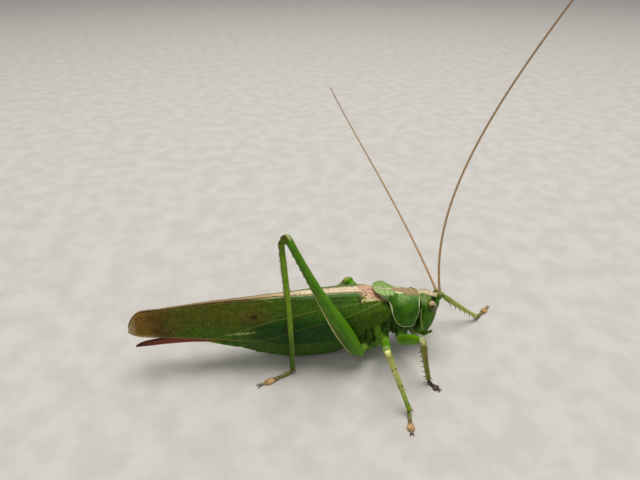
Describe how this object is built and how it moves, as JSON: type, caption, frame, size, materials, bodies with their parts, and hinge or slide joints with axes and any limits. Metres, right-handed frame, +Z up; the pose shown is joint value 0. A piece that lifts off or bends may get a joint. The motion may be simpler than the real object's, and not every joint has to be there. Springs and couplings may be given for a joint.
{
  "type": "great green bush-cricket, female",
  "caption": "Life-size still model of a female great green bush-cricket walking, with folded roof-like wings, long thread-like feelers and an egg-laying blade.",
  "frame": {"origin": "middle of the bounding box, on the floor that the feet stand on", "axes": "+X from tail to head, +Y to the insect's left, +Z up"},
  "size_m": [0.0706, 0.0509, 0.0637],
  "materials": {
    "body_green": "smooth, faintly grained green cuticle with a soft sheen",
    "shield_green": "dimpled green neck shield with a tan middle band and a cream rim",
    "wing_green": "leathery green fore wing with raised veins, brown along its upper edge and tip",
    "leg_green": "bright green thigh with rows of small plates and a pale lower edge",
    "shin_olive": "olive shin with fine dark spines",
    "foot_tan": "tan foot with dark joints and soft pads",
    "blade_brown": "polished red-brown horny blade",
    "feeler_tan": "tan, finely ringed thread",
    "eye_beige": "beige eye with fine facets, darker below",
    "membrane_pale": "thin pale green membrane, folded"
  },
  "bodies": {
    "root": {"abdomen": "body_green", "antenna_left_base": "feeler_tan", "antenna_left_middle": "feeler_tan", "antenna_left_tip": "feeler_tan", "antenna_right_base": "feeler_tan", "antenna_right_middle": "feeler_tan", "antenna_right_tip": "feeler_tan", "cercus_left": "body_green", "cercus_right": "body_green", "coxa_fore_left": "body_green", "coxa_fore_right": "body_green", "coxa_hind_left": "body_green", "coxa_hind_right": "body_green", "coxa_mid_left": "body_green", "coxa_mid_right": "body_green", "eye_left": "eye_beige", "eye_right": "eye_beige", "femur_fore_left": "leg_green", "femur_fore_right": "leg_green", "femur_hind_left": "leg_green", "femur_hind_right": "leg_green", "femur_mid_left": "leg_green", "femur_mid_right": "leg_green", "forewing_left": "wing_green", "forewing_right": "wing_green", "head": "body_green", "hindwings": "membrane_pale", "labial_palp_left": "body_green", "labial_palp_right": "body_green", "labium": "body_green", "labrum": "body_green", "mandible_left": "body_green", "mandible_right": "body_green", "maxillary_palp_left": "body_green", "maxillary_palp_right": "body_green", "neck": "membrane_pale", "ovipositor": "blade_brown", "pronotum": "shield_green", "scape_left": "body_green", "scape_right": "body_green", "subgenital_plate": "body_green", "tarsus_fore_left": "foot_tan", "tarsus_fore_right": "foot_tan", "tarsus_hind_left": "foot_tan", "tarsus_hind_right": "foot_tan", "tarsus_mid_left": "foot_tan", "tarsus_mid_right": "foot_tan", "thorax": "body_green", "tibia_fore_left": "shin_olive", "tibia_fore_right": "shin_olive", "tibia_hind_left": "shin_olive", "tibia_hind_right": "shin_olive", "tibia_mid_left": "shin_olive", "tibia_mid_right": "shin_olive"}
  },
  "joints": []
}
